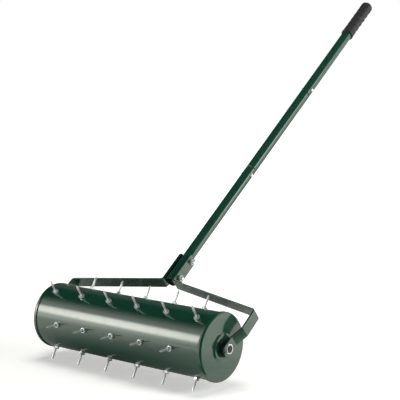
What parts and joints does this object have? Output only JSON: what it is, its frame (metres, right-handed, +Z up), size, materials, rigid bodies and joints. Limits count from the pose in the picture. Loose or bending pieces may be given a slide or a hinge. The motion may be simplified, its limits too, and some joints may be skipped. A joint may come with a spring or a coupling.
{
  "type": "lawn aerator",
  "caption": "Walk-behind lawn aerator: a spiked steel roller that turns in a flat-bar yoke on a long tubular handle with a rubber grip.",
  "frame": {"origin": "on the ground, under the middle of the bounding box of the aerator as it stands in use with its handle raised", "axes": "+Z up, +Y from the roller towards the grip, +X along the axle, towards the end that is on the right in the picture"},
  "size_m": [0.5918, 1.1442, 0.9019],
  "materials": {
    "drum_paint": "dark green gloss enamel",
    "frame_paint": "dark green gloss enamel",
    "spike_zinc": "bright zinc plating",
    "fastener_zinc": "bright zinc plating",
    "axle_steel": "drawn steel",
    "grip_rubber": "matt moulded rubber",
    "nylon": "black nylon"
  },
  "bodies": {
    "frame": {"axle_rod": "axle_steel", "axle_washer_left": "nylon", "axle_washer_right": "nylon", "axle_nut_left": "fastener_zinc", "axle_nut_right": "fastener_zinc", "yoke_bar_left": "frame_paint", "yoke_bar_right": "frame_paint", "handle_tube_lower": "frame_paint", "handle_tube_middle": "frame_paint", "handle_tube_upper": "frame_paint", "handle_grip": "grip_rubber", "clamp_bolt_lower": "fastener_zinc", "clamp_bolt_upper": "fastener_zinc", "clamp_nut_lower": "fastener_zinc", "clamp_nut_upper": "fastener_zinc", "joint_bolt_lower": "fastener_zinc", "joint_bolt_upper": "fastener_zinc", "joint_nut_lower": "fastener_zinc", "joint_nut_upper": "fastener_zinc"},
    "drum": {"drum_shell": "drum_paint", "end_cap_left": "drum_paint", "end_cap_right": "drum_paint", "hub_bush_left": "nylon", "hub_bush_right": "nylon", "spike_1_1": "spike_zinc", "spike_1_2": "spike_zinc", "spike_1_3": "spike_zinc", "spike_1_4": "spike_zinc", "spike_1_5": "spike_zinc", "spike_1_6": "spike_zinc", "spike_2_1": "spike_zinc", "spike_2_2": "spike_zinc", "spike_2_3": "spike_zinc", "spike_2_4": "spike_zinc", "spike_2_5": "spike_zinc", "spike_3_1": "spike_zinc", "spike_3_2": "spike_zinc", "spike_3_3": "spike_zinc", "spike_3_4": "spike_zinc", "spike_3_5": "spike_zinc", "spike_3_6": "spike_zinc", "spike_4_1": "spike_zinc", "spike_4_2": "spike_zinc", "spike_4_3": "spike_zinc", "spike_4_4": "spike_zinc", "spike_4_5": "spike_zinc", "spike_5_1": "spike_zinc", "spike_5_2": "spike_zinc", "spike_5_3": "spike_zinc", "spike_5_4": "spike_zinc", "spike_5_5": "spike_zinc", "spike_5_6": "spike_zinc", "spike_6_1": "spike_zinc", "spike_6_2": "spike_zinc", "spike_6_3": "spike_zinc", "spike_6_4": "spike_zinc", "spike_6_5": "spike_zinc"}
  },
  "joints": [
    {"name": "drum_spin", "type": "hinge", "parent": "frame", "child": "drum", "pos_m": [0, -0.45758, 0.09946], "axis": [1, 0, 0], "continuous": true}
  ]
}
